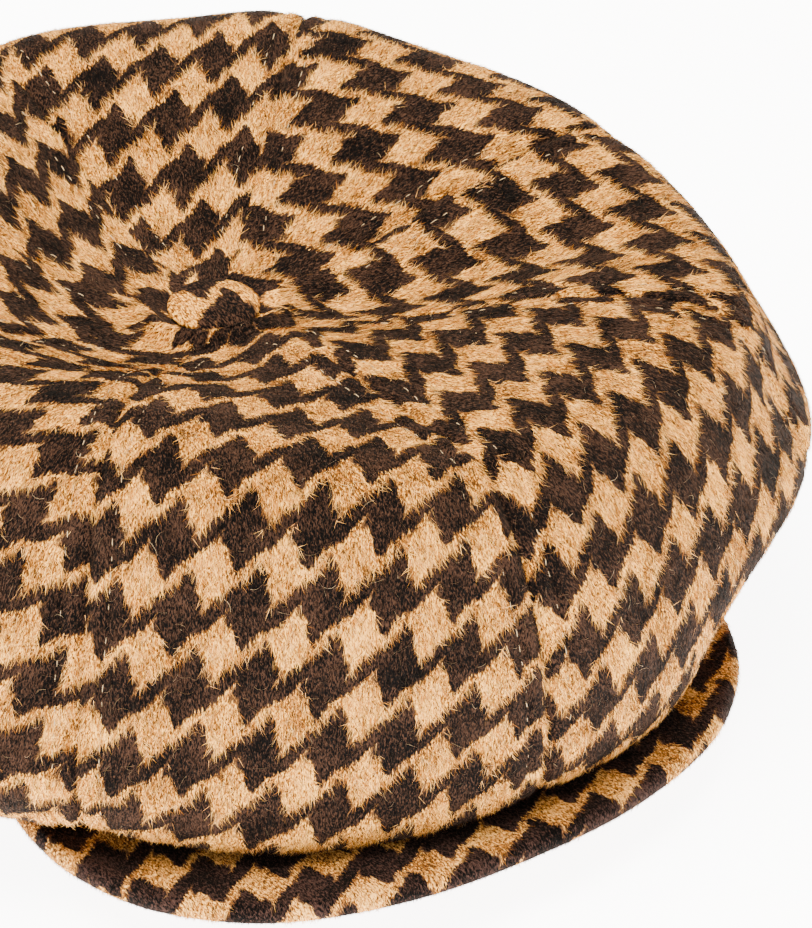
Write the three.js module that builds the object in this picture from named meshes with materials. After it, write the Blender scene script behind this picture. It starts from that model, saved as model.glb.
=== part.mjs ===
// An eight-panel cloth cap with a covered button and a peak, in millimetres.
// +Z is up, the front faces -Y, and the headband stands on z = 0 with its centre on the Z axis.
// Azimuths are in degrees from the front (-Y), positive towards +X.
import * as THREE from "three";

// ---- driving dimensions
const gap = 0.3; // between neighbouring pieces
const clothThickness = 2.2;
const panelCount = 8;

const bandHalfWidth = 85.5; // outside, across the head
const bandHalfLength = 102.5; // outside, front to back: about 57.5 cm round the inside
const bandThickness = 3;
const bandHeight = 26;
const bandSegments = 72;

const crownTurn = 2; // the soft crown sits turned a little on its band
const crownShift = [4, -2.5]; // and its button a little off the band's centre
const crownCentreZ = 71; // outer face of the cloth under the button
const crownHoleRadius = 4; // where the panels' tips end, round the button's shank
const buttonSeatRadius = 12;
const buttonSeatLift = 0.4; // the cloth rises this much from the hole to the seat's rim
const dishReach = 0.33; // station of the dish, as a share of the crest's radius
const innerReach = 0.7; // station of the inner slope, likewise
const bulgeOut = 0.8; // direction of the bulge between the crest and the widest line
const bulgeUp = 0.6;
const tuckZ = 21; // where the crown's cloth meets the outside of the band
const seamSink = 1.3; // depth of the groove along each seam
const seamWidth = 5; // how far the groove reaches into a panel
const grooveStarts = [1, 2]; // stations over which the groove comes in and goes out again
const grooveEnds = [7, 8];

// The crown's form, one row for each seam and each panel's middle, 22.5 degrees apart.
const crownColumns = ["dishZ", "innerZ", "crestR", "crestZ", "bulge", "wideR", "wideZ", "hemR", "hemZ"];
const crownRows = [
  [84, 89, 107, 93, 7, 132, 38, 126, 17], // centre front seam
  [79, 89, 109, 89, 7, 133, 43, 123, 16.5],
  [74, 86, 116, 86, 4, 135, 44, 98, 18.5], // seam in the trough towards +X
  [69, 78, 109, 84, 3, 133, 40, 98, 17.5],
  [73, 84, 106, 85, 4, 131, 40, 107, 16], // seam
  [75, 89, 102, 88, 4, 133, 39, 119, 15],
  [77, 92, 98, 95, 4, 136, 38, 122, 15], // seam
  [73, 90, 100, 92, 4, 136, 38, 122, 15],
  [72, 86, 103, 91, 4, 137, 38, 122, 15], // centre back seam
  [74, 91, 100, 91, 4, 136, 38, 122, 15],
  [76, 95, 98, 92, 4, 136, 38, 122, 15], // seam
  [76, 94, 98, 92, 4, 135, 38, 121, 15],
  [76, 92, 98, 93, 4, 133, 37, 120, 15], // seam towards -X
  [76, 94, 97, 93, 4, 130, 35, 118, 16],
  [78, 96, 96, 95, 4, 127, 33, 117, 16.5], // seam
  [80, 93, 103, 94, 5, 127, 34, 123, 16],
];
const rowStep = 360 / crownRows.length;
const panelWidth = 360 / panelCount; // in degrees

// Facets between the crown's stations, from the button outwards, and across a panel as shares of its width.
const facetsByStation = [1, 2, 4, 4, 4, 4, 4, 3];
const panelShares = [0, 0.05, 0.18, 0.34, 0.5, 0.66, 0.82, 0.95, 1];

// The peak, one row for each azimuth: how far it reaches from the axis and how high its middle plane is there.
const peakColumns = ["azimuth", "reach", "edgeZ"];
const peakRows = [
  [0, 142, 15],
  [12, 142.5, 14.8],
  [24, 141, 14],
  [34, 134.5, 13],
  [42, 124.5, 12],
  [49.5, 111.5, 10.5],
  [56, 98, 9],
  [60, 91.5, 8],
];
const peakThickness = 5;
const peakRootZ = 8; // middle plane at the band
const peakSectionsPerSide = 15;
const peakFacets = 6; // from the band to the rolled edge
const edgeFacets = 3; // in each quarter of the rolled edge

const buttonRadius = 10.5;
const buttonHeight = 6;
const buttonRimHeight = 1.6; // of the straight part under the dome
const buttonUndercut = 1;
const buttonFlatness = 0.8; // under 1 makes the dome fuller than a half ellipse
const buttonDomeSteps = 8;
const buttonShankRadius = crownHoleRadius - gap;
const buttonSegments = 24;

// ---- materials
const camelWool = new THREE.MeshStandardMaterial({ color: 0xdcb383, roughness: 0.95, metalness: 0 });
const brownWool = new THREE.MeshStandardMaterial({ color: 0x3c2d29, roughness: 0.95, metalness: 0 });

// ---- small helpers
const rad = THREE.MathUtils.degToRad;

// Smooth curve through evenly spaced values (Catmull-Rom), clamped at the ends or running round.
function through(values, t, closed = false) {
  const n = values.length;
  const pick = (i) => (closed ? values[((i % n) + n) % n] : values[Math.min(Math.max(i, 0), n - 1)]);
  const i = closed ? Math.floor(t) : Math.min(Math.floor(t), n - 2);
  const f = t - i;
  const [a, b, c, d] = [pick(i - 1), pick(i), pick(i + 1), pick(i + 2)];
  return b + 0.5 * f * (c - a + f * (2 * a - 5 * b + 4 * c - d + f * (3 * (b - c) + d - a)));
}

function polar(azimuth, radius, z) {
  return new THREE.Vector3(radius * Math.sin(rad(azimuth)), -radius * Math.cos(rad(azimuth)), z);
}

// Radius of the band's outside at an azimuth.
function bandRadius(azimuth) {
  const across = Math.sin(rad(azimuth)) / bandHalfWidth;
  const along = Math.cos(rad(azimuth)) / bandHalfLength;
  return 1 / Math.hypot(across, along);
}

// A closed solid lofted through equal loops. Each loop goes out along one face and back along the other,
// so that its two ends are closed by a ladder of facets.
function loft(loops) {
  const size = loops[0].length;
  const positions = loops.flat().flatMap((p) => [p.x, p.y, p.z]);
  const index = [];
  const quad = (a, b, c, d) => index.push(a, c, b, a, d, c);
  for (let k = 0; k + 1 < loops.length; k++) {
    for (let i = 0; i < size; i++) {
      const next = (i + 1) % size;
      quad(k * size + i, (k + 1) * size + i, (k + 1) * size + next, k * size + next);
    }
  }
  const last = (loops.length - 1) * size;
  for (let i = 0; i + 1 < size / 2; i++) {
    const across = size - 1 - i;
    quad(i, i + 1, across - 1, across);
    quad(last + i, last + across, last + across - 1, last + i + 1);
  }
  const geometry = new THREE.BufferGeometry();
  geometry.setAttribute("position", new THREE.Float32BufferAttribute(positions, 3));
  geometry.setIndex(index);
  geometry.computeVertexNormals();
  return geometry;
}

// ---- crown
// The stations of the crown's profile at an azimuth of the crown, as [radius, z] from the button to the band.
function crownStations(azimuth) {
  const t = azimuth / rowStep;
  const s = {};
  crownColumns.forEach((name, c) => {
    s[name] = through(crownRows.map((row) => row[c]), t, true);
  });
  const sideR = (s.crestR + s.wideR) / 2;
  const sideZ = (s.crestZ + s.wideZ) / 2;
  return [
    [crownHoleRadius, crownCentreZ],
    [buttonSeatRadius, crownCentreZ + buttonSeatLift],
    [dishReach * s.crestR, s.dishZ],
    [innerReach * s.crestR, s.innerZ],
    [s.crestR, s.crestZ],
    [sideR + bulgeOut * s.bulge, sideZ + bulgeUp * s.bulge],
    [s.wideR, s.wideZ],
    [s.hemR, s.hemZ],
    [bandReach(azimuth), tuckZ],
  ];
}

// How far the band's outside lies from the crown's own axis, at an azimuth of the crown.
function bandReach(azimuth) {
  const sine = Math.sin(rad(azimuth + crownTurn));
  const cosine = -Math.cos(rad(azimuth + crownTurn));
  const [x, y] = crownShift;
  const a = (sine / bandHalfWidth) ** 2 + (cosine / bandHalfLength) ** 2;
  const b = (x * sine) / bandHalfWidth ** 2 + (y * cosine) / bandHalfLength ** 2;
  const c = (x / bandHalfWidth) ** 2 + (y / bandHalfLength) ** 2 - 1;
  return (Math.sqrt(b * b - a * c) - b) / a + gap;
}

// Radius and height of the crown's outer face, with t counting stations.
function crownProfile(azimuth, t) {
  const stations = crownStations(azimuth);
  return [through(stations.map((p) => p[0]), t), through(stations.map((p) => p[1]), t)];
}

function crownPoint(azimuth, t) {
  return polar(azimuth + crownTurn, ...crownProfile(azimuth, t));
}

function crownNormal(azimuth, t) {
  const stepT = 0.02;
  const stepAzimuth = 1;
  const last = facetsByStation.length;
  const after = crownPoint(azimuth, Math.min(t + stepT, last));
  const before = crownPoint(azimuth, Math.max(t - stepT, 0));
  const round = crownPoint(azimuth + stepAzimuth, t).sub(crownPoint(azimuth - stepAzimuth, t));
  return after.sub(before).cross(round).normalize();
}

// Both faces of the cloth at one column of a panel, as a loop: out along the top, back along the inside.
function crownColumn(panel, share) {
  const fromSeam = Math.min(share, 1 - share) * panelWidth;
  const onForm = (panel + share) * panelWidth;
  const { smoothstep, radToDeg } = THREE.MathUtils;
  const outside = [];
  const inside = [];
  facetsByStation.forEach((facets, station) => {
    const end = station + 1 === facetsByStation.length ? facets : facets - 1;
    for (let i = 0; i <= end; i++) {
      const t = station + i / facets;
      const [radius] = crownProfile(onForm, t);
      const inset = radToDeg(gap / 2 / radius);
      const azimuth = onForm + inset * (1 - 2 * share);
      const toSeam = (rad(fromSeam) * radius) / seamWidth;
      const fade = smoothstep(t, ...grooveStarts) * (1 - smoothstep(t, ...grooveEnds));
      const sink = seamSink * fade * Math.exp(-toSeam * toSeam);
      const normal = crownNormal(onForm, t);
      const point = crownPoint(azimuth, t);
      outside.push(point.clone().addScaledVector(normal, -sink));
      inside.push(point.clone().addScaledVector(normal, -sink - clothThickness));
    }
  });
  return [...outside, ...inside.reverse()];
}

function crownPanel(panel) {
  return loft(panelShares.map((share) => crownColumn(panel, share)));
}

// ---- headband
function headband() {
  const ring = new THREE.Shape().absellipse(0, 0, bandHalfWidth, bandHalfLength, 0, 2 * Math.PI);
  const inside = new THREE.Path();
  inside.absellipse(0, 0, bandHalfWidth - bandThickness, bandHalfLength - bandThickness, 0, 2 * Math.PI);
  ring.holes.push(inside);
  return new THREE.ExtrudeGeometry(ring, {
    depth: bandHeight,
    bevelEnabled: false,
    curveSegments: bandSegments,
  });
}

// ---- peak
function peakAt(azimuth) {
  const size = Math.abs(azimuth);
  let i = 0;
  while (i + 2 < peakRows.length && size > peakRows[i + 1][0]) i++;
  const t = i + (size - peakRows[i][0]) / (peakRows[i + 1][0] - peakRows[i][0]);
  const mirrored = [...peakRows.slice(1).reverse(), ...peakRows];
  const row = {};
  peakColumns.forEach((name, c) => {
    row[name] = through(mirrored.map((r) => r[c]), peakRows.length - 1 + t);
  });
  return row;
}

// One section of the peak: out along its top, round the rolled edge, and back along its underside.
function peakSection(azimuth) {
  const { reach, edgeZ } = peakAt(azimuth);
  const half = peakThickness / 2;
  const root = bandRadius(azimuth) + gap;
  const flatEnd = reach - half;
  const middleZ = (radius) => peakRootZ + ((edgeZ - peakRootZ) * (radius - root)) / (reach - root);
  const top = [];
  const bottom = [];
  for (let i = 0; i <= peakFacets; i++) {
    const radius = root + ((flatEnd - root) * i) / peakFacets;
    top.push(polar(azimuth, radius, middleZ(radius) + half));
    bottom.push(polar(azimuth, radius, middleZ(radius) - half));
  }
  // An even count of facets over the half circle leaves a short flat at its middle.
  const edgeTurn = 180 / (2 * edgeFacets + 1);
  for (let i = 1; i <= edgeFacets; i++) {
    const turn = rad(edgeTurn * i);
    const radius = flatEnd + half * Math.sin(turn);
    top.push(polar(azimuth, radius, middleZ(flatEnd) + half * Math.cos(turn)));
    bottom.push(polar(azimuth, radius, middleZ(flatEnd) - half * Math.cos(turn)));
  }
  return [...top, ...bottom.reverse()];
}

function peak() {
  const widest = peakRows[peakRows.length - 1][0];
  const sections = [];
  for (let i = -peakSectionsPerSide; i <= peakSectionsPerSide; i++) {
    sections.push(peakSection((widest * i) / peakSectionsPerSide));
  }
  return loft(sections);
}

// ---- button
// A flat underside just over the cloth, a domed top, and a shank between the panels' tips.
function button() {
  const shankEnd = crownCentreZ - clothThickness;
  const seatZ = crownCentreZ + buttonSeatLift + gap;
  const domeHeight = buttonHeight - buttonRimHeight;
  const profile = [
    new THREE.Vector2(0, shankEnd),
    new THREE.Vector2(buttonShankRadius, shankEnd),
    new THREE.Vector2(buttonShankRadius, seatZ),
    new THREE.Vector2(buttonRadius - buttonUndercut, seatZ),
  ];
  for (let i = 0; i < buttonDomeSteps; i++) {
    const turn = rad((90 * i) / buttonDomeSteps);
    const radius = buttonRadius * Math.cos(turn) ** buttonFlatness;
    profile.push(new THREE.Vector2(radius, seatZ + buttonRimHeight + domeHeight * Math.sin(turn)));
  }
  profile.push(new THREE.Vector2(0, seatZ + buttonHeight));
  const geometry = new THREE.LatheGeometry(profile, buttonSegments);
  geometry.rotateX(Math.PI / 2); // the lathe turns about Y
  return geometry;
}

// ---- assembly
function piece(name, geometry, material) {
  const mesh = new THREE.Mesh(geometry, material);
  mesh.name = name;
  return mesh;
}

const cap = new THREE.Group();
cap.name = "cap";
const crown = new THREE.Group();
crown.name = "crown";
crown.position.set(crownShift[0], crownShift[1], 0);
for (let panel = 0; panel < panelCount; panel++) {
  crown.add(piece(`crown_panel_${panel + 1}`, crownPanel(panel), camelWool));
}
cap.add(crown);
cap.add(piece("headband", headband(), camelWool));
cap.add(piece("peak", peak(), camelWool));
crown.add(piece("button", button(), brownWool));

// The part's origin is under the middle of the whole cap.
const part = new THREE.Group();
part.add(cap);
const middle = new THREE.Box3().setFromObject(part).getCenter(new THREE.Vector3());
cap.position.set(-middle.x, -middle.y, 0);

export default part;
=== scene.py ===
import math

import bpy
import numpy as np
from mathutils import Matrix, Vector


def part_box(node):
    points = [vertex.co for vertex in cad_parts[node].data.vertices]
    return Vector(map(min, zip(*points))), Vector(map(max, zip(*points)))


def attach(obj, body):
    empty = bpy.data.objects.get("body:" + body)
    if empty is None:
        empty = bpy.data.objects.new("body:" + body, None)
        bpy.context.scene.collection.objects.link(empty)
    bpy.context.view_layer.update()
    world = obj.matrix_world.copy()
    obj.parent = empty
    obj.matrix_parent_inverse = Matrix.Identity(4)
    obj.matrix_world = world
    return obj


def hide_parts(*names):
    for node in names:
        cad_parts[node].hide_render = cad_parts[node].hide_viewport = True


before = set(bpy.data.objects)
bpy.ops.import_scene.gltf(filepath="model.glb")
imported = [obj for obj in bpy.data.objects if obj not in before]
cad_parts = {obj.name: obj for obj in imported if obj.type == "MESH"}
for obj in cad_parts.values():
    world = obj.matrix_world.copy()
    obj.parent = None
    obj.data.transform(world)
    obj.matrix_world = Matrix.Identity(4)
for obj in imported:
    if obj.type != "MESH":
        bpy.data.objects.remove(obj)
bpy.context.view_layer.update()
mm = 0.001
rng = np.random.default_rng(11)

# Sizes in mm, the same as in the part's source.
gap = 0.3
clothThickness = 2.2
panelCount = 8
bandHalf = np.array([85.5, 102.5])  # of its outside, across and along
bandThickness = 3.0
bandHeight = 26.0
crownTurn = 2.0  # degrees
crownShift = np.array([4.0, -2.5])
crownCentreZ = 71.0
crownHoleRadius = 4.0
buttonSeatRadius = 12.0
buttonSeatLift = 0.4
dishReach = 0.33
innerReach = 0.7
bulgeOut = 0.8
bulgeUp = 0.6
tuckZ = 21.0
# The crown's form, a row for each seam and each panel's middle: dishZ, innerZ, crestR, crestZ, bulge,
# wideR, wideZ, hemR and hemZ.
crownRows = np.array([
    [84, 89, 107, 93, 7, 132, 38, 126, 17],  # centre front seam
    [79, 89, 109, 89, 7, 133, 43, 123, 16.5],
    [74, 86, 116, 86, 4, 135, 44, 98, 18.5],
    [69, 78, 109, 84, 3, 133, 40, 98, 17.5],
    [73, 84, 106, 85, 4, 131, 40, 107, 16],
    [75, 89, 102, 88, 4, 133, 39, 119, 15],
    [77, 92, 98, 95, 4, 136, 38, 122, 15],
    [73, 90, 100, 92, 4, 136, 38, 122, 15],
    [72, 86, 103, 91, 4, 137, 38, 122, 15],  # centre back seam
    [74, 91, 100, 91, 4, 136, 38, 122, 15],
    [76, 95, 98, 92, 4, 136, 38, 122, 15],
    [76, 94, 98, 92, 4, 135, 38, 121, 15],
    [76, 92, 98, 93, 4, 133, 37, 120, 15],
    [76, 94, 97, 93, 4, 130, 35, 118, 16],
    [78, 96, 96, 95, 4, 127, 33, 117, 16.5],
    [80, 93, 103, 94, 5, 127, 34, 123, 16],
])
rowStep = 360.0 / len(crownRows)
panelWidth = 360.0 / panelCount

# How each panel was cut from the cloth: the size of the pattern's repeat across and along it, how far the
# pattern is turned, and where the middle of a dark block lies.
clothCut = {
    1: dict(repeat=(13.8, 16.3), turn=-7, dark=(5.7, 81.9)),
    2: dict(repeat=(14.8, 15.6), turn=3, dark=(4.3, 86.3)),
    3: dict(repeat=(14.6, 16.6), turn=16, dark=(3.8, 96.8)),
    4: dict(repeat=(14.1, 16.3), turn=-3, dark=(2.0, 96.1)),
    5: dict(repeat=(13.8, 15.7), turn=-5, dark=(-1.0, 89.0)),
    6: dict(repeat=(14.3, 16.0), turn=6, dark=(1.0, 92.0)),
    7: dict(repeat=(14.6, 16.2), turn=5, dark=(-0.4, 92.3)),
    8: dict(repeat=(14.3, 16.0), turn=1, dark=(5.0, 82.3)),
}
repeat = np.array([14.3, 16.0])  # the usual one, which the wool's own grain and the band go by


# Catmull-Rom through evenly spaced values along the first axis, clamped at the ends or running round.
def through(values, t, closed=False):
    n = len(values)
    t = np.asarray(t, float)
    i = np.floor(t).astype(int)
    if not closed:
        i = np.minimum(i, n - 2)
    f = t - i
    around = [i - 1, i, i + 1, i + 2]
    a, b, c, d = [values[k % n if closed else np.clip(k, 0, n - 1)] for k in around]
    f = f.reshape(f.shape + (1,) * (b.ndim - f.ndim))
    return b + 0.5 * f * (c - a + f * (2 * a - 5 * b + 4 * c - d + f * (3 * (b - c) + d - a)))


def smoothstep(x, low, high):
    s = np.clip((x - low) / (high - low), 0, 1)
    return s * s * (3 - 2 * s)


def unit(v):
    return v / np.maximum(np.linalg.norm(v, axis=-1, keepdims=True), 1e-12)


# How far the band's outside lies from the crown's axis, with the gap.
def bandReach(azimuth):
    sine = np.sin(np.radians(azimuth + crownTurn))
    cosine = -np.cos(np.radians(azimuth + crownTurn))
    x, y = crownShift
    a = (sine / bandHalf[0]) ** 2 + (cosine / bandHalf[1]) ** 2
    b = x * sine / bandHalf[0] ** 2 + y * cosine / bandHalf[1] ** 2
    c = (x / bandHalf[0]) ** 2 + (y / bandHalf[1]) ** 2 - 1
    return (np.sqrt(b * b - a * c) - b) / a + gap


# Radius and height at each station (first axis) and azimuth (second axis).
def crownStations(azimuth):
    form = through(crownRows, azimuth / rowStep, True)
    dishZ, innerZ, crestR, crestZ, bulge, wideR, wideZ, hemR, hemZ = form.T
    same = np.ones_like(dishZ)
    rows = [
        (crownHoleRadius * same, crownCentreZ * same),
        (buttonSeatRadius * same, (crownCentreZ + buttonSeatLift) * same),
        (dishReach * crestR, dishZ),
        (innerReach * crestR, innerZ),
        (crestR, crestZ),
        ((crestR + wideR) / 2 + bulgeOut * bulge, (crestZ + wideZ) / 2 + bulgeUp * bulge),
        (wideR, wideZ),
        (hemR, hemZ),
        (bandReach(azimuth), tuckZ * same),
    ]
    return np.array([np.stack(r, -1) for r in rows])


# Radius and height of the crown's outer face, one row for each t and one column for each azimuth.
def crownProfile(azimuth, t):
    return through(crownStations(azimuth), t)


# The crown's own axis and the band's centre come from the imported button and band.
buttonLow, buttonHigh = np.array(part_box("button")) / mm
bandLow, bandHigh = np.array(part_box("headband")) / mm
crownAxis = (buttonLow[:2] + buttonHigh[:2]) / 2
bandCentre = (bandLow[:2] + bandHigh[:2]) / 2


def polar(azimuth, radius, z, centre):
    a = np.radians(azimuth)
    x = radius * np.sin(a) + centre[0]
    y = -radius * np.cos(a) + centre[1]
    return np.stack(np.broadcast_arrays(x, y, z), -1)


# Distance along each column of a grid of radii and heights.
def arcLength(radius, z):
    steps = [np.diff(values, axis=0, prepend=values[:1]) for values in (radius, z)]
    return np.cumsum(np.hypot(*steps), axis=0)


def meshPiece(name, vertices, faces, uv, material, normals=None):
    mesh = bpy.data.meshes.new(name)
    faces = np.asarray(faces, np.int32)
    size = faces.shape[1]
    mesh.vertices.add(len(vertices))
    mesh.vertices.foreach_set("co", (np.asarray(vertices) * mm).astype(np.float32).ravel())
    mesh.loops.add(faces.size)
    mesh.loops.foreach_set("vertex_index", faces.ravel())
    mesh.polygons.add(len(faces))
    mesh.polygons.foreach_set("loop_start", np.arange(0, faces.size, size, dtype=np.int32))
    mesh.polygons.foreach_set("use_smooth", np.ones(len(faces), bool))
    mesh.update(calc_edges=True)
    layer = mesh.uv_layers.new(name="cloth")
    layer.data.foreach_set("uv", np.asarray(uv, np.float32)[faces.ravel()].ravel())
    if normals is not None:
        mesh.normals_split_custom_set_from_vertices(np.asarray(normals, float).tolist())
    mesh.materials.append(material)
    piece = bpy.data.objects.new(name, mesh)
    bpy.context.scene.collection.objects.link(piece)
    return piece


# Quads over a grid of rows and columns, numbered row by row from first.
def gridFaces(rows, columns, first=0, wrap=False, flip=False):
    r = np.arange(rows - 1)[:, None]
    c = np.arange(columns if wrap else columns - 1)[None, :]
    n = (c + 1) % columns
    quads = np.stack([r * columns + c, r * columns + n, (r + 1) * columns + n, (r + 1) * columns + c], -1)
    quads = quads.reshape(-1, 4) + first
    return quads[:, ::-1] if flip else quads


# Both faces of a sheet of cloth with closed edges, from its outer grid and its normals.
def clothWall(outer, normal, uv, thickness):
    rows, columns = outer.shape[:2]
    count = rows * columns
    inner = outer - normal * thickness
    vertices = np.concatenate([outer.reshape(-1, 3), inner.reshape(-1, 3)])
    index = np.arange(count).reshape(rows, columns)
    rim = np.concatenate([index[0, :-1], index[:-1, -1], index[-1, :0:-1], index[:0:-1, 0]])
    following = np.roll(rim, -1)
    side = np.stack([rim, following, following + count, rim + count], -1)
    faces = np.concatenate([
        gridFaces(rows, columns, flip=True),
        gridFaces(rows, columns, first=count),
        side,
    ])
    return vertices, faces, np.concatenate([uv.reshape(-1, 2)] * 2)


# The houndstooth, counted in repeats from the middle of a dark block. Each band is given by its middle,
# half its width and its softness, the bands bend a little where they cross, and the wool is light where the
# mix of the two yarns passes the parting.
pattern = dict(
    shift=0.75,
    warp=(0.23, 0.28, 0.10),
    weft=(0.28, 0.32, 0.31),
    twill=(0.50, 0.19, 0.83),
    bend=(0.046, -0.054),
    parting=(0.70, 0.78),
)


def lightShare(uv):
    across, down = np.moveaxis(uv, -1, 0)
    u = across + pattern["shift"] + pattern["bend"][0] * np.sin(2 * np.pi * down)
    v = down + pattern["shift"] + pattern["bend"][1] * np.sin(2 * np.pi * across)
    shares = []
    for value, (middle, half, softness) in (
        (u, pattern["warp"]), (v, pattern["weft"]), (2 * (u + v), pattern["twill"]),
    ):
        away = np.abs((value - middle + 0.5) % 1 - 0.5)
        shares.append(np.clip((half - away) / softness + 0.5, 0, 1))
    warp, weft, twill = shares
    return weft + (warp - weft) * twill


# A style gives the lengths of light and dark hairs, how far they stand up, how far they stray from the
# brushed way, how they roll, their width and the depth of their roots, how unevenly they face the light,
# and whether they grow from the light blocks only.
nap = dict(
    light=(1.2, 2.9), dark=(0.9, 2.2), lean=(0.04, 0.26), turn=0.42, roll=0.9,
    width=(0.12, 0.22), root=0.05, facing=0.75, onlyLight=False,
)
raised = dict(
    nap, light=(1.4, 3.0), lean=(0.08, 0.36), turn=0.55, width=(0.08, 0.14), facing=0.4, onlyLight=True,
)


def cellAreas(grid):
    corner = grid[:-1, :-1]
    return np.linalg.norm(np.cross(grid[:-1, 1:] - corner, grid[1:, :-1] - corner), axis=-1)


# Random places on a grid, even by area, as a sampler for values kept on that grid.
def scatter(grid, count):
    area = cellAreas(grid)
    share = np.cumsum(area.ravel()) / area.sum()
    cell = np.searchsorted(share, rng.random(count))
    r, c = np.unravel_index(np.minimum(cell, area.size - 1), area.shape)
    fr, fc = rng.random((2, count, 1))

    def at(values):
        top = values[r, c] * (1 - fc) + values[r, c + 1] * fc
        low = values[r + 1, c] * (1 - fc) + values[r + 1, c + 1] * fc
        return top * (1 - fr) + low * fr

    return at


# Single-triangle hairs over a grid, leaning the way the wool is brushed, joined into one mesh.
def napPiece(name, outer, normal, uv, along, perSquareMm, material, trim=1.0, style=nap):
    count = int(cellAreas(outer).sum() * perSquareMm)
    at = scatter(outer, count)
    root, up, flow, rootUv = at(outer), unit(at(normal)), at(along), at(uv)
    light = lightShare(rootUv) > pattern["parting"][0]
    if style["onlyLight"]:
        root, up, flow, rootUv, light = [values[light] for values in (root, up, flow, rootUv, light)]
        count = len(root)
    flow = unit(flow - up * (flow * up).sum(-1, keepdims=True))
    turn = rng.normal(0, style["turn"], (count, 1))
    heading = flow * np.cos(turn) + np.cross(up, flow) * np.sin(turn)
    tilt = rng.uniform(*style["lean"], (count, 1))
    heading = heading * np.cos(tilt) + up * np.sin(tilt)
    low, high = np.where(light[:, None, None], style["light"], style["dark"]).transpose(2, 0, 1)
    size = (low + (high - low) * rng.random((count, 1))) * trim
    flat = unit(np.cross(heading, up))
    roll = rng.uniform(-style["roll"], style["roll"], (count, 1))
    side = flat * np.cos(roll) + np.cross(flat, heading) * np.sin(roll)
    side *= rng.uniform(*style["width"], (count, 1)) / 2
    base = root - up * style["root"]
    vertices = np.stack([base - side, base + side, base + heading * size], 1).reshape(-1, 3)
    faces = np.arange(3 * count).reshape(-1, 3)
    facing = unit(up + rng.normal(0, style["facing"], (count, 3)))
    return meshPiece(name, vertices, faces, np.repeat(rootUv, 3, 0), material, np.repeat(facing, 3, 0))


stray = dict(
    perPanel=900, length=(1.0, 3.8), curl=0.5, width=0.07, taper=0.7, base=0.2, rise=(0.3, 0.9),
    facing=0.4, steps=4,
)


# Light hairs that have worked loose and lie curled over the nap, as narrow ribbons.
def strayPiece(name, outer, normal, count, material):
    at = scatter(outer, count)
    place, up = at(outer), unit(at(normal))
    heading = rng.normal(0, 1, (count, 3))
    heading = unit(heading - up * (heading * up).sum(-1, keepdims=True))
    length = rng.uniform(*stray["length"], (count, 1))
    curl = rng.normal(0, stray["curl"], (count, 1))
    rise = rng.uniform(*stray["rise"], (count, 1))
    rows = []
    for k in range(stray["steps"] + 1):
        s = k / stray["steps"]
        across = np.cross(up, heading)
        side = across * stray["width"] / 2 * (1 - stray["taper"] * s)
        lifted = place + up * rise * (stray["base"] + math.sin(math.pi * s))
        rows += [lifted - side, lifted + side]
        place = place + heading * length / stray["steps"]
        heading = unit(heading + across * curl * length / stray["steps"])
    vertices = np.stack(rows, 1)
    step = np.array([[2 * k, 2 * k + 1, 2 * k + 3, 2 * k + 2] for k in range(stray["steps"])])
    faces = (step[None] + np.arange(count)[:, None, None] * vertices.shape[1]).reshape(-1, 4)
    facing = np.repeat(unit(up + rng.normal(0, stray["facing"], (count, 3))), vertices.shape[1], 0)
    uv = np.repeat(rng.random((count, 2)), vertices.shape[1], 0)
    return meshPiece(name, vertices.reshape(-1, 3), faces, uv, material, facing)


# An sRGB colour, given in hex, as linear values.
def linear(code):
    parts = [int(code[i:i + 2], 16) / 255 for i in (0, 2, 4)]
    return [p / 12.92 if p <= 0.04045 else ((p + 0.055) / 1.055) ** 2.4 for p in parts] + [1.0]


def add(tree, kind, inputs=None, **settings):
    node = tree.nodes.new(kind)
    for key, value in settings.items():
        setattr(node, key, value)
    for key, value in (inputs or {}).items():
        if isinstance(value, bpy.types.NodeSocket):
            tree.links.new(value, node.inputs[key])
        else:
            node.inputs[key].default_value = value
    return node


def newMaterial(name):
    material = bpy.data.materials.new(name)
    material.use_nodes = True
    material.node_tree.nodes.clear()
    return material, material.node_tree


woolColours = dict(
    camel=("3E250F", "B06A1C", "F4B85A"),  # hairs in shade, most hairs, hairs that catch the light
    # the dark brown hairs the same way: painted shade between hairs, most hairs, painted highlights on
    # hairs that catch the light
    brown=("010000", "060302", "3D291F"),
    mingled="553A27",  # where both kinds of hair lie over each other
    mingling=3.2,  # how strongly that shows along a block's edge
)


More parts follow.
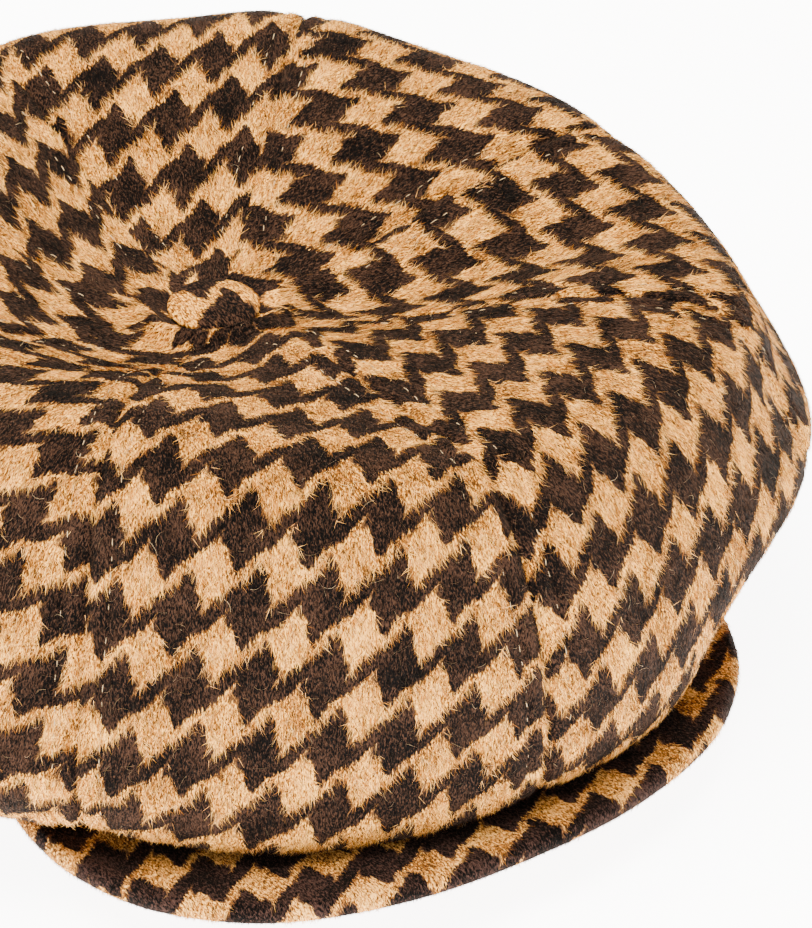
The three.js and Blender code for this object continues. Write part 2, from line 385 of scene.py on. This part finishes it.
# Brushed wool, woven from camel and dark brown yarns in a houndstooth and raised with a wire brush: matt,
# with ragged edges where the hairs run over them and each hair its own shade. UVs count the repeats.
def brushedWool(name, tint):
    material, tree = newMaterial(name)
    cloth = add(tree, "ShaderNodeUVMap", uv_map="cloth").outputs["UV"]
    inputs = {0: cloth, 1: (*repeat, 1.0)}
    inMm = add(tree, "ShaderNodeVectorMath", inputs, operation="MULTIPLY").outputs[0]
    fields = {}
    for field, perMm, detail, stretch in (
        ("ends", 1.0, 3, (2.4, 0.2, 1)),  # hairs that end at different places
        ("yarns", 0.6, 2, (1, 1, 1)),  # yarns that wander
        ("weave", 0.07, 2, (1, 1, 1)),  # slow drift of the weave
        ("strands", 2.3, 3, (1, 0.4, 1)),  # locks of a few hairs each
        ("fibres", 4.5, 2, (1, 0.3, 1)),  # single hairs
        ("wear", 0.1, 3, (1, 1, 1)),  # slow change of shade
        ("pile", 2.2, 4, (1, 0.3, 1)),  # relief of the brushed hairs
    ):
        inputs = {0: inMm, 1: stretch}
        place = add(tree, "ShaderNodeVectorMath", inputs, operation="MULTIPLY").outputs[0]
        inputs = {"Vector": place, "Scale": perMm, "Detail": detail, "Roughness": 0.6}
        fields[field] = add(tree, "ShaderNodeTexNoise", inputs, noise_dimensions="2D").outputs["Fac"]

    split = add(tree, "ShaderNodeSeparateXYZ", {0: cloth})
    across, down = split.outputs[0], split.outputs[1]
    moved = []
    for start, other, bend, field, reach, drift in (
        (across, down, pattern["bend"][0], "yarns", 0.07, 0.16),
        (down, across, pattern["bend"][1], "ends", 0.25, -0.16),
    ):
        turn = add(tree, "ShaderNodeMath", {0: other, 1: 2 * math.pi}, operation="MULTIPLY").outputs[0]
        wave = add(tree, "ShaderNodeMath", {0: turn}, operation="SINE").outputs[0]
        inputs = {0: start, 1: pattern["shift"] - reach / 2 - drift / 2}
        place = add(tree, "ShaderNodeMath", inputs, operation="ADD").outputs[0]
        for value, factor in ((wave, bend), (fields[field], reach), (fields["weave"], drift)):
            inputs = {0: value, 1: factor, 2: place}
            place = add(tree, "ShaderNodeMath", inputs, operation="MULTIPLY_ADD").outputs[0]
        moved.append(place)
    slope = add(tree, "ShaderNodeMath", {0: moved[0], 1: moved[1]}, operation="ADD").outputs[0]
    twice = add(tree, "ShaderNodeMath", {0: slope, 1: 2.0}, operation="MULTIPLY").outputs[0]
    shares = []
    for value, (middle, half, softness) in (
        (moved[0], pattern["warp"]), (moved[1], pattern["weft"]), (twice, pattern["twill"]),
    ):
        placed = add(tree, "ShaderNodeMath", {0: value, 1: middle}, operation="SUBTRACT").outputs[0]
        away = add(tree, "ShaderNodeMath", {0: placed, 1: 0.5}, operation="PINGPONG").outputs[0]
        inputs = {0: away, 1: -1 / softness, 2: half / softness + 0.5}
        share = add(tree, "ShaderNodeMath", inputs, operation="MULTIPLY_ADD", use_clamp=True)
        shares.append(share.outputs[0])
    warp, weft, twill = shares
    blend = add(tree, "ShaderNodeMix", {"Factor": twill, 2: weft, 3: warp}).outputs[0]
    low, high = pattern["parting"]
    inputs = {"Value": blend, "From Min": low, "From Max": high}
    light = add(tree, "ShaderNodeMapRange", inputs, interpolation_type="SMOOTHSTEP").outputs[0]

    inputs = {"Factor": 0.5, 2: fields["strands"], 3: fields["fibres"]}
    strands = add(tree, "ShaderNodeMix", inputs).outputs[0]
    shade = add(tree, "ShaderNodeMix", {"Factor": 0.2, 2: strands, 3: fields["wear"]}).outputs[0]
    ramps = []
    for colours in (woolColours["brown"], woolColours["camel"]):
        ramp = add(tree, "ShaderNodeValToRGB", {"Fac": shade})
        deep, pale = ramp.color_ramp.elements
        deep.position, pale.position = 0.44, 0.56
        deep.color, pale.color = linear(colours[0]), linear(colours[2])
        ramp.color_ramp.elements.new(0.5).color = linear(colours[1])
        ramps.append(ramp.outputs[0])
    inputs = {"Factor": light, 6: ramps[0], 7: ramps[1]}
    colour = add(tree, "ShaderNodeMix", inputs, data_type="RGBA").outputs[2]
    rest = add(tree, "ShaderNodeMath", {0: 1.0, 1: light}, operation="SUBTRACT").outputs[0]
    both = add(tree, "ShaderNodeMath", {0: light, 1: rest}, operation="MULTIPLY").outputs[0]
    inputs = {0: both, 1: woolColours["mingling"]}
    edge = add(tree, "ShaderNodeMath", inputs, operation="MULTIPLY").outputs[0]
    inputs = {"Factor": edge, 6: colour, 7: linear(woolColours["mingled"])}
    mixed = add(tree, "ShaderNodeMix", inputs, data_type="RGBA").outputs[2]
    inputs = {"Factor": 1.0, 6: mixed, 7: (*tint, 1)}
    tinted = add(tree, "ShaderNodeMix", inputs, data_type="RGBA", blend_type="MULTIPLY").outputs[2]
    inputs = {"Height": fields["pile"], "Strength": 0.6, "Distance": 0.0006}
    bump = add(tree, "ShaderNodeBump", inputs).outputs[0]
    shader = add(tree, "ShaderNodeBsdfPrincipled", {
        "Base Color": tinted,
        "Roughness": 0.92,
        "IOR": 1.5,
        "Specular IOR Level": 0.06,
        "Sheen Weight": 0.02,
        "Sheen Roughness": 0.5,
        "Sheen Tint": linear("F2D9B8"),
        "Normal": bump,
    })
    add(tree, "ShaderNodeOutputMaterial", {"Surface": shader.outputs[0]})
    return material


# Camel wool hairs that stand clear of the nap: pale, thin and slightly shiny, no two quite the same shade.
# On the raised hairs the paleness is a painted highlight, for single hairs that stand proud and catch more
# light.
def paleHairs(name, low, high):
    material, tree = newMaterial(name)
    place = add(tree, "ShaderNodeUVMap", uv_map="cloth").outputs["UV"]
    inputs = {"Vector": place, "Scale": 8.0}
    shade = add(tree, "ShaderNodeTexNoise", inputs, noise_dimensions="2D").outputs["Fac"]
    ramp = add(tree, "ShaderNodeValToRGB", {"Fac": shade})
    ramp.color_ramp.elements[0].position = 0.3
    ramp.color_ramp.elements[0].color = linear(low)
    ramp.color_ramp.elements[1].position = 0.7
    ramp.color_ramp.elements[1].color = linear(high)
    shader = add(tree, "ShaderNodeBsdfPrincipled", {
        "Base Color": ramp.outputs[0],
        "Roughness": 0.6,
        "IOR": 1.55,
        "Specular IOR Level": 0.2,
    })
    add(tree, "ShaderNodeOutputMaterial", {"Surface": shader.outputs[0]})
    return material


# Cotton thread: pale camel, twisted, with a little gloss; the twist's low grooves are painted darker, as
# painted shade.
def threadMaterial():
    material, tree = newMaterial("cotton thread")
    coords = add(tree, "ShaderNodeTexCoord").outputs["Object"]
    twist = add(tree, "ShaderNodeTexWave", {"Vector": coords, "Scale": 2200.0, "Distortion": 1.0})
    # darker where the twist's bump is low: painted shade in its grooves
    ramp = add(tree, "ShaderNodeValToRGB", {"Fac": twist.outputs["Fac"]})
    ramp.color_ramp.elements[0].color = linear("8F7048")
    ramp.color_ramp.elements[1].color = linear("D2B88E")
    inputs = {"Height": twist.outputs["Fac"], "Strength": 0.4, "Distance": 0.0001}
    bump = add(tree, "ShaderNodeBump", inputs)
    shader = add(tree, "ShaderNodeBsdfPrincipled", {
        "Base Color": ramp.outputs[0],
        "Roughness": 0.7,
        "IOR": 1.5,
        "Normal": bump.outputs[0],
    })
    add(tree, "ShaderNodeOutputMaterial", {"Surface": shader.outputs[0]})
    return material


wool = brushedWool("brushed wool", (1, 0.97, 0.9))
shadedPeakWool = brushedWool("brushed wool on the peak", (0.98, 1, 1.22))  # a little less yellow: painted shade colour, for how the peak's wool looks in the crown's shade
# raised hairs painted paler than the nap: painted highlight where single hairs catch the light
raisedHairHighlight = paleHairs("raised camel wool hairs", "C27F3A", "F8C070")
looseFibre = paleHairs("loose wool fibres", "A67F4E", "EFD2A2")
thread = threadMaterial()

crown = dict(
    perStation=[3, 12, 14, 16, 16, 16, 14, 8],  # rows of the mesh between the stations
    widest=133.0, nearSeam=8.0, fineColumns=15, wideColumns=10,  # columns stand closer beside a seam
    seamOpening=0.04,  # closer than the solids stand, so that no light shows through a seam
    valley=0.6, valleyWidth=7.0, crease=1.4, creaseWidth=1.2,  # how the cloth sinks to a seam
    stitchLine=5.0, stitchSink=0.6, stitchWidth=1.0, pucker=0.22, puckerPitch=8.5, puckerWidth=7.0,
    sinkFrom=(1.4, 3.2), sinkTo=(7.0, 8.0),  # stations over which all of that comes in and goes out
    puff=2.2, puffRadius=15.6, puffWidth=3.0,  # cloth raised round the button
    puffBias=0.7, puffTowards=326,  # and more so to its front and the wearer's right
    slack=0.7, slackFrom=(1.5, 3.0), slackTo=(6.5, 7.5),
    normalStep=0.5,  # degrees to each side, between which a normal is taken
    brushed=(0.9, 7.7), hairs=4.5, raised=1.4,  # stations, and hairs to a square mm
)
halfPanel = math.pi * crown["widest"] / panelCount
fine = np.linspace(0, crown["nearSeam"], crown["fineColumns"])
wide = np.linspace(crown["nearSeam"], halfPanel, crown["wideColumns"] + 1)[1:]
halfShare = np.concatenate([fine, wide]) / (2 * halfPanel)
columnShare = np.concatenate([halfShare, 1 - halfShare[-2::-1]])


# Slack in the cloth: slow swells over the whole crown.
def slack(azimuth, t):
    a = np.radians(azimuth)
    swell = 0.5 * np.sin(5 * a + 1.3 * t)
    swell = swell + 0.4 * np.sin(9 * a - 2.1 * t + 1.0)
    swell = swell + 0.3 * np.sin(13 * a + 0.9 * t * t)
    fade = smoothstep(t, *crown["slackFrom"]) * (1 - smoothstep(t, *crown["slackTo"]))
    return crown["slack"] * swell * fade


# A panel's outer face and normals, its flat cloth coordinates in mm, and t for each row.
def crownGrid(panel):
    stations = len(crown["perStation"])
    t = np.concatenate([i + np.arange(n) / n for i, n in enumerate(crown["perStation"])] + [[stations]])
    onForm = (panel - 1 + columnShare) * panelWidth
    profile = crownProfile(onForm, t)
    radius, z = profile[..., 0], profile[..., 1]
    inset = np.degrees(crown["seamOpening"] / 2 / radius)
    azimuth = onForm + inset * (1 - 2 * columnShare)
    form = polar(azimuth + crownTurn, radius, z, crownAxis)

    beside = []
    for turned in (onForm - crown["normalStep"], onForm + crown["normalStep"]):
        profile = crownProfile(turned, t)
        beside.append(polar(turned + crownTurn, profile[..., 0], profile[..., 1], crownAxis))
    downward = np.gradient(polar(onForm + crownTurn, radius, z, crownAxis), axis=0)
    normal = unit(np.cross(downward, beside[1] - beside[0]))

    toSeam = np.radians(np.minimum(columnShare, 1 - columnShare) * panelWidth) * radius
    fade = smoothstep(t, *crown["sinkFrom"]) * (1 - smoothstep(t, *crown["sinkTo"]))
    arc = arcLength(radius, z) + crownHoleRadius
    wave = crown["pucker"] * np.sin(2 * np.pi * arc / crown["puckerPitch"])
    sink = crown["valley"] * np.exp(-(toSeam / crown["valleyWidth"]) ** 2)
    sink += crown["crease"] * np.exp(-(toSeam / crown["creaseWidth"]) ** 2)
    sink += crown["stitchSink"] * np.exp(-((toSeam - crown["stitchLine"]) / crown["stitchWidth"]) ** 2)
    sink += wave * np.exp(-(toSeam / crown["puckerWidth"]) ** 2)
    fuller = 1 + crown["puffBias"] * np.cos(np.radians(onForm - crown["puffTowards"]))
    lift = crown["puff"] * fuller * np.exp(-((radius - crown["puffRadius"]) / crown["puffWidth"]) ** 2)
    lift += slack(onForm[None, :], t[:, None]) - sink * fade[:, None]
    outer = form + normal * lift[..., None]

    # Across from the panel's middle line and along from the crown's axis.
    across = radius * np.radians((columnShare - 0.5) * panelWidth)
    bend = np.gradient(radius, axis=0) / np.gradient(arc, axis=0) / (2 * radius)
    flat = np.stack([across, arc - bend * across ** 2], -1)
    return outer, normal, flat, t


# Flat cloth coordinates in mm, counted in repeats from the middle of a dark block.
def inRepeats(flat, cut):
    offset = flat - np.array(cut["dark"])
    turn = math.radians(cut["turn"])
    x = math.cos(turn) * offset[..., 0] + math.sin(turn) * offset[..., 1]
    y = -math.sin(turn) * offset[..., 0] + math.cos(turn) * offset[..., 1]
    return np.stack([x / cut["repeat"][0], y / cut["repeat"][1]], -1)


for panel in range(1, panelCount + 1):
    outer, normal, flat, t = crownGrid(panel)
    uv = inRepeats(flat, clothCut[panel])
    vertices, faces, wallUv = clothWall(outer, normal, uv, clothThickness)
    gore = meshPiece(f"crown_gore_{panel}", vertices, faces, wallUv, wool)
    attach(gore, "root")
    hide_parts(f"crown_panel_{panel}")
    first, last = crown["brushed"]
    keep = (t > first) & (t < last)
    brushed = [values[keep] for values in (outer, normal, uv, np.gradient(outer, axis=0))]
    hairs = napPiece(f"nap_{panel}", *brushed, crown["hairs"], wool)
    loose = strayPiece(f"loose_hairs_{panel}", *brushed[:2], stray["perPanel"], looseFibre)
    proud = napPiece(f"raised_hairs_{panel}", *brushed, crown["raised"], raisedHairHighlight, style=raised)
    for piece in (hairs, proud, loose):
        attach(piece, "root")
    print("panel", panel, "faces", len(gore.data.polygons), "hairs", len(hairs.data.polygons))

# The rows keep between two stations, and end where they come near the middle of a narrowing panel. Each
# stitch is a short thread with blunt ends, which dip towards the cloth on both sides of its arch.
stitch = dict(
    length=2.1, pitch=3.3, radius=0.11, sides=6, rings=5, first=1.0, between=(1.8, 7.2), nearMiddle=0.42,
    unevenness=0.12, depth=(-0.26, 0.1), arch=(-0.1, 0.1), blunt=0.08,
)


# Both ends of each stitch in the row beside a seam, and the way up from the cloth.
def stitchRow(panel, side):
    outer, normal, _, t = crownGrid(panel)
    radius = np.hypot(*(outer[..., :2] - crownAxis).transpose(2, 0, 1))
    first, last = stitch["between"]
    lines = []
    for r in np.where((t > first) & (t < last))[0]:
        offset = math.degrees(crown["stitchLine"] / radius[r].mean()) / panelWidth
        where = offset if side < 0 else 1 - offset
        if offset < stitch["nearMiddle"]:
            both = (outer[r], normal[r])
            lines.append([[np.interp(where, columnShare, row[:, i]) for i in range(3)] for row in both])
    points, ups = np.array(lines).transpose(1, 0, 2)
    run = np.concatenate([[0], np.cumsum(np.linalg.norm(np.diff(points, axis=0), axis=1))])
    starts = np.arange(stitch["first"], run[-1] - stitch["length"], stitch["pitch"])
    ends = starts + stitch["length"]

    def at(values, distance):
        return np.stack([np.interp(distance, run, values[:, i]) for i in range(3)], -1)

    return at(points, starts), at(points, ends), unit(at(ups, (starts + ends) / 2))


def stitchPiece():
    rows = [stitchRow(panel, side) for panel in range(1, panelCount + 1) for side in (-1, 1)]
    start, end, up = [np.concatenate(part) for part in zip(*rows)]
    start = start + rng.normal(0, stitch["unevenness"], start.shape)
    end = end + rng.normal(0, stitch["unevenness"], end.shape)
    start, end = [p + up * rng.uniform(*stitch["depth"], (len(up), 1)) for p in (start, end)]
    heading = unit(end - start)
    side = unit(np.cross(heading, up))
    blunt = stitch["blunt"]
    low, high = stitch["arch"]
    vertices = []
    for s in np.linspace(0, 1, stitch["rings"]):
        swell = math.sin(math.pi * (blunt + (1 - 2 * blunt) * s)) ** 0.5 * stitch["radius"]
        middle = start + (end - start) * s + up * (low + (high - low) * math.sin(math.pi * s))
        for a in np.linspace(0, 2 * np.pi, stitch["sides"], endpoint=False):
            vertices.append(middle + side * swell * math.cos(a) + up * swell * math.sin(a))
    count = len(start)
    vertices = np.array(vertices).transpose(1, 0, 2)
    perStitch = vertices.shape[1]
    quads = gridFaces(stitch["rings"], stitch["sides"], wrap=True)
    faces = (quads[None] + np.arange(count)[:, None, None] * perStitch).reshape(-1, 4)
    vertices = vertices.reshape(-1, 3)
    return meshPiece("topstitching", vertices, faces, np.zeros((len(vertices), 2)), thread)


stitches = stitchPiece()
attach(stitches, "root")
print("stitches", len(stitches.data.polygons))

# The edge turns under in steps, each so far in from the rim and so high above the seat.
button = dict(
    radius=10.5, height=3.4, rim=1.0, pole=0.15, tuck=((0.0, 0.9), (0.4, 0.25), (1.0, 0.02)),
    segments=64, rings=24, hairs=5.0, trim=0.5, brushed=(0.5, -0.8, 0),
    cut=dict(repeat=(17.0, 20.0), turn=0, dark=(1.2, 8.4)),
)


def buttonGrid():
    seat = crownCentreZ + buttonSeatLift + gap
    turn = np.radians(np.linspace(90, 0, button["rings"]))
    dome = button["height"] - button["rim"]
    inward, above = np.array(button["tuck"]).T
    radius = np.maximum(button["radius"] * np.cos(turn), button["pole"])
    radius = np.concatenate([radius, button["radius"] - inward])
    z = np.concatenate([seat + button["rim"] + dome * np.sin(turn), seat + above])
    azimuth = np.linspace(0, 360, button["segments"] + 1)
    return polar(azimuth, radius[:, None], z[:, None], crownAxis)


grid = buttonGrid()
along = np.gradient(grid, axis=0)
roundward = np.gradient(grid, axis=1)
roundward[:, 0] = roundward[:, -1] = grid[:, 1] - grid[:, -2]
normal = unit(np.cross(along, roundward))
outward = grid[..., :2] - crownAxis
uv = inRepeats(outward * [1, -1], button["cut"])
rings = grid[:, :-1]
faces = gridFaces(len(rings), button["segments"], wrap=True, flip=True)
cap = meshPiece("covered_button", rings.reshape(-1, 3), faces, uv[:, :-1].reshape(-1, 2), wool)
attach(cap, "root")
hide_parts("button")
flow = np.zeros_like(grid) + button["brushed"]
brushed = [values[1:-2] for values in (grid, normal, uv, flow)]
hairs = napPiece("button_nap", *brushed, button["hairs"], wool, button["trim"])
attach(hairs, "root")
print("button", "faces", len(cap.data.polygons), "hairs", len(hairs.data.polygons))

peak = dict(
    thickness=5.0, rootZ=8.0, columns=161, topRows=34, edgeRows=12, hairs=4.0, trim=0.8,
    cut=dict(repeat=(15.6, 16.0), turn=-2, dark=(2.1, 126.7)),
)
# Azimuth, and the edge's reach and height there, from the middle to one side.
peakRows = np.array([
    [0, 142, 15],
    [12, 142.5, 14.8],
    [24, 141, 14],
    [34, 134.5, 13],
    [42, 124.5, 12],
    [49.5, 111.5, 10.5],
    [56, 98, 9],
    [60, 91.5, 8],
])


def bandRadius(azimuth):
    a = np.radians(azimuth)
    return 1 / np.hypot(np.sin(a) / bandHalf[0], np.cos(a) / bandHalf[1])


# The peak's top, rolled edge and underside as one grid, its azimuths, and how far each point lies from the
# band's centre, measured over the cloth.
def peakGrid():
    widest = peakRows[-1, 0]
    azimuth = np.linspace(-widest, widest, peak["columns"])
    mirrored = np.concatenate([peakRows[:0:-1], peakRows])
    t = np.interp(np.abs(azimuth), peakRows[:, 0], np.arange(len(peakRows))) + len(peakRows) - 1
    row = through(mirrored, t)
    reach, edgeZ = row[:, 1], row[:, 2]
    half = peak["thickness"] / 2
    root = bandRadius(azimuth) + gap
    flatEnd = reach - half
    s = np.linspace(0, 1, peak["topRows"])[:, None]
    r = root + (flatEnd - root) * s
    z = peak["rootZ"] + (edgeZ - peak["rootZ"]) * (r - root) / (reach - root)
    turn = np.radians(np.linspace(0, 180, peak["edgeRows"] + 2)[1:-1])[:, None]
    edgeR = flatEnd + half * np.sin(turn)
    edgeMid = z[-1] + half * np.cos(turn)
    radius = np.concatenate([r, edgeR, r[::-1]])
    height = np.concatenate([z + half, edgeMid, z[::-1] - half])
    return polar(azimuth, radius, height, bandCentre), azimuth, arcLength(radius, height) + root


# The faces over that grid, with its two ends and its root closed.
def peakFaces(rows, columns):
    index = np.arange(rows * columns).reshape(rows, columns)
    half = rows // 2
    faces = [gridFaces(rows, columns, flip=True)]
    for c, turned in ((0, False), (columns - 1, True)):
        top = index[:half, c]
        low = index[::-1, c][:half]
        side = np.stack([top[:-1], top[1:], low[1:], low[:-1]], -1)
        faces.append(side[:, ::-1] if turned else side)
    faces.append(np.stack([index[0, :-1], index[0, 1:], index[-1, 1:], index[-1, :-1]], -1))
    return np.concatenate(faces)


grid, azimuth, arc = peakGrid()
along = np.gradient(grid, axis=0)
normal = unit(np.cross(along, np.gradient(grid, axis=1)))
a = np.radians(azimuth)
uv = inRepeats(np.stack([arc * np.sin(a), arc * np.cos(a)], -1), peak["cut"])
faces = peakFaces(*grid.shape[:2])
visor = meshPiece("peak_cover", grid.reshape(-1, 3), faces, uv.reshape(-1, 2), shadedPeakWool)
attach(visor, "root")
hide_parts("peak")
top = peak["topRows"] + peak["edgeRows"]
brushed = [values[:top] for values in (grid, normal, uv, along)]
hairs = napPiece("peak_nap", *brushed, peak["hairs"], shadedPeakWool, peak["trim"])
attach(hairs, "root")
print("peak", "faces", len(visor.data.polygons), "hairs", len(hairs.data.polygons))

band = dict(segments=180, corner=0.9, cornerSteps=5)


# A ring of the band's section, an upright strip with rounded edges.
def bandGrid():
    corner = band["corner"]
    outside, inside = -corner, corner - bandThickness
    low, high = corner, bandHeight - corner
    turn = np.radians(np.linspace(0, 90, band["cornerSteps"]))
    loop = []
    for r, z, start in ((outside, low, -90), (outside, high, 0), (inside, high, 90), (inside, low, 180)):
        angle = turn + math.radians(start)
        loop += list(zip(r + corner * np.cos(angle), z + corner * np.sin(angle)))
    loop = np.array(loop + loop[:1])
    halfway = (loop[:-1] + loop[1:]) / 2
    loop = np.concatenate([np.stack([loop[:-1], halfway], 1).reshape(-1, 2), loop[:1]])
    azimuth = np.linspace(0, 360, band["segments"] + 1)
    offset, z = loop[:, :1], loop[:, 1:]
    a = np.radians(azimuth)
    x = (bandHalf[0] + offset) * np.sin(a) + bandCentre[0]
    y = -(bandHalf[1] + offset) * np.cos(a) + bandCentre[1]
    grid = np.stack(np.broadcast_arrays(x, y, z), -1)
    length = np.radians(azimuth) * bandHalf.mean()
    uv = np.stack(np.broadcast_arrays(length, arcLength(offset, z)), -1) / repeat
    return grid, uv


grid, uv = bandGrid()
ring = meshPiece("sewn_headband", grid.reshape(-1, 3), gridFaces(*grid.shape[:2]), uv.reshape(-1, 2), wool)
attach(ring, "root")
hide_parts("headband")
print("band", len(ring.data.polygons))

# White paper, lit until it is almost pure white.
floorMaterial, tree = newMaterial("white paper sweep")
grain = add(tree, "ShaderNodeTexNoise", {"Scale": 60.0, "Detail": 4.0})
ramp = add(tree, "ShaderNodeValToRGB", {"Fac": grain.outputs["Fac"]})
ramp.color_ramp.elements[0].color = linear("F6F6F6")
ramp.color_ramp.elements[1].color = linear("FCFCFC")
paper = add(tree, "ShaderNodeBsdfPrincipled", {
    "Base Color": ramp.outputs[0],
    "Roughness": 0.9,
    "Emission Color": (1, 1, 1, 1),
    "Emission Strength": 8.0,
})
add(tree, "ShaderNodeOutputMaterial", {"Surface": paper.outputs[0]})
side = 4000.0
corners = [(-side, -side, 0), (side, -side, 0), (side, side, 0), (-side, side, 0)]
floor = meshPiece("floor", np.array(corners), [[0, 1, 2, 3]], np.zeros((4, 2)), floorMaterial)

world = bpy.data.worlds.new("studio")
world.use_nodes = True
world.node_tree.nodes.clear()
sky = add(world.node_tree, "ShaderNodeBackground", {"Color": (1, 1, 1, 1), "Strength": 1.15})
add(world.node_tree, "ShaderNodeOutputWorld", {"Surface": sky.outputs[0]})
bpy.context.scene.world = world

lampColour = (1.0, 0.95, 0.84)


def softbox(name, place, size, power):
    data = bpy.data.lights.new(name, "AREA")
    data.shape = "DISK"
    data.size = size
    data.energy = power
    data.color = lampColour
    lamp = bpy.data.objects.new(name, data)
    lamp.location = place
    lamp.rotation_euler = (-Vector(place)).to_track_quat("-Z", "Y").to_euler()
    bpy.context.scene.collection.objects.link(lamp)


softbox("top light", (-0.15, 0.08, 1.3), 1.2, 70)
softbox("front light", (-1.3, -1.2, 1.1), 1.2, 9)

# The camera looks down from the front and the wearer's right, from close to.
view = dict(
    azimuth=31.92, elevation=35.62, distance=885.94, target=(49.29, -3.38, 13.13), lens=95.24, film=24.0,
)
a, e = math.radians(view["azimuth"]), math.radians(view["elevation"])
away = Vector((-math.sin(a) * math.cos(e), -math.cos(a) * math.cos(e), math.sin(e)))
lens = bpy.data.cameras.new("camera")
lens.sensor_fit = "VERTICAL"
lens.sensor_height = view["film"]
lens.lens = view["lens"]
camera = bpy.data.objects.new("camera", lens)
camera.location = (Vector(view["target"]) + away * view["distance"]) * mm
camera.rotation_euler = (-away).to_track_quat("-Z", "Y").to_euler()
bpy.context.scene.collection.objects.link(camera)
bpy.context.scene.camera = camera

bpy.context.view_layer.update()
